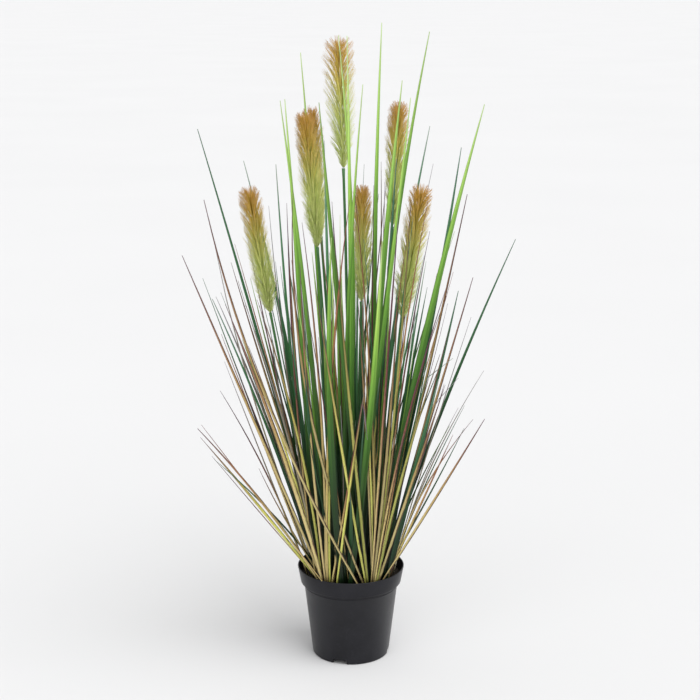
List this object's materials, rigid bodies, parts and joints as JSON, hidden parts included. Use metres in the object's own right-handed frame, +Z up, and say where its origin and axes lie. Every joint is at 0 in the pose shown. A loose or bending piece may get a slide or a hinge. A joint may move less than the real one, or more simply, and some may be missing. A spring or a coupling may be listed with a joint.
{
  "type": "artificial fountain grass clump in a nursery pot",
  "caption": "Artificial fountain grass: a dense upright clump of long narrow blades with bristle plumes on stalks, fixed in a plain round black nursery pot.",
  "frame": {"origin": "centre of the flat underside of the pot, which stands on the floor", "axes": "+Z up along the pot's axis; the front of the clump faces -Y"},
  "size_m": [0.446, 0.3123, 0.88],
  "materials": {
    "pot": "semi-matte black moulded plastic",
    "filler": "dark weighted filler, rough",
    "lime_blade": "lime to mid-green, satin",
    "teal_blade": "teal to dark green, satin",
    "speckled_blade": "tan and olive with burgundy edges, satin",
    "thin_blade": "mixed olive, tan and green, satin",
    "stalk": "green plastic, satin",
    "bristle": "fine bristles, ochre above and pale green below"
  },
  "bodies": {
    "root": {"pot": "pot", "filler_plug": "filler", "lime_blade_01": "lime_blade", "lime_blade_02": "lime_blade", "lime_blade_03": "lime_blade", "lime_blade_04": "lime_blade", "lime_blade_05": "lime_blade", "lime_blade_06": "lime_blade", "lime_blade_07": "lime_blade", "lime_blade_08": "lime_blade", "lime_blade_09": "lime_blade", "lime_blade_10": "lime_blade", "lime_blade_11": "lime_blade", "lime_blade_12": "lime_blade", "lime_blade_13": "lime_blade", "lime_blade_14": "lime_blade", "teal_blade_01": "teal_blade", "teal_blade_02": "teal_blade", "teal_blade_03": "teal_blade", "teal_blade_04": "teal_blade", "teal_blade_05": "teal_blade", "teal_blade_06": "teal_blade", "teal_blade_07": "teal_blade", "teal_blade_08": "teal_blade", "teal_blade_09": "teal_blade", "teal_blade_10": "teal_blade", "teal_blade_11": "teal_blade", "speckled_blade_01": "speckled_blade", "speckled_blade_02": "speckled_blade", "speckled_blade_03": "speckled_blade", "speckled_blade_04": "speckled_blade", "speckled_blade_05": "speckled_blade", "speckled_blade_06": "speckled_blade", "thin_blade_tuft_01": "thin_blade", "thin_blade_tuft_02": "thin_blade", "thin_blade_tuft_03": "thin_blade", "thin_blade_tuft_04": "thin_blade", "thin_blade_tuft_05": "thin_blade", "thin_blade_tuft_06": "thin_blade", "thin_blade_tuft_07": "thin_blade", "thin_blade_tuft_08": "thin_blade", "thin_blade_tuft_09": "thin_blade", "thin_blade_tuft_10": "thin_blade", "thin_blade_tuft_11": "thin_blade", "thin_blade_tuft_12": "thin_blade", "thin_blade_tuft_13": "thin_blade", "plume_stalk_1": "stalk", "plume_stalk_2": "stalk", "plume_stalk_3": "stalk", "plume_stalk_4": "stalk", "plume_stalk_5": "stalk", "plume_stalk_6": "stalk", "plume_stalk_7": "stalk", "plume_head_1": "bristle", "plume_head_2": "bristle", "plume_head_3": "bristle", "plume_head_4": "bristle", "plume_head_5": "bristle", "plume_head_6": "bristle", "plume_head_7": "bristle"}
  },
  "joints": []
}
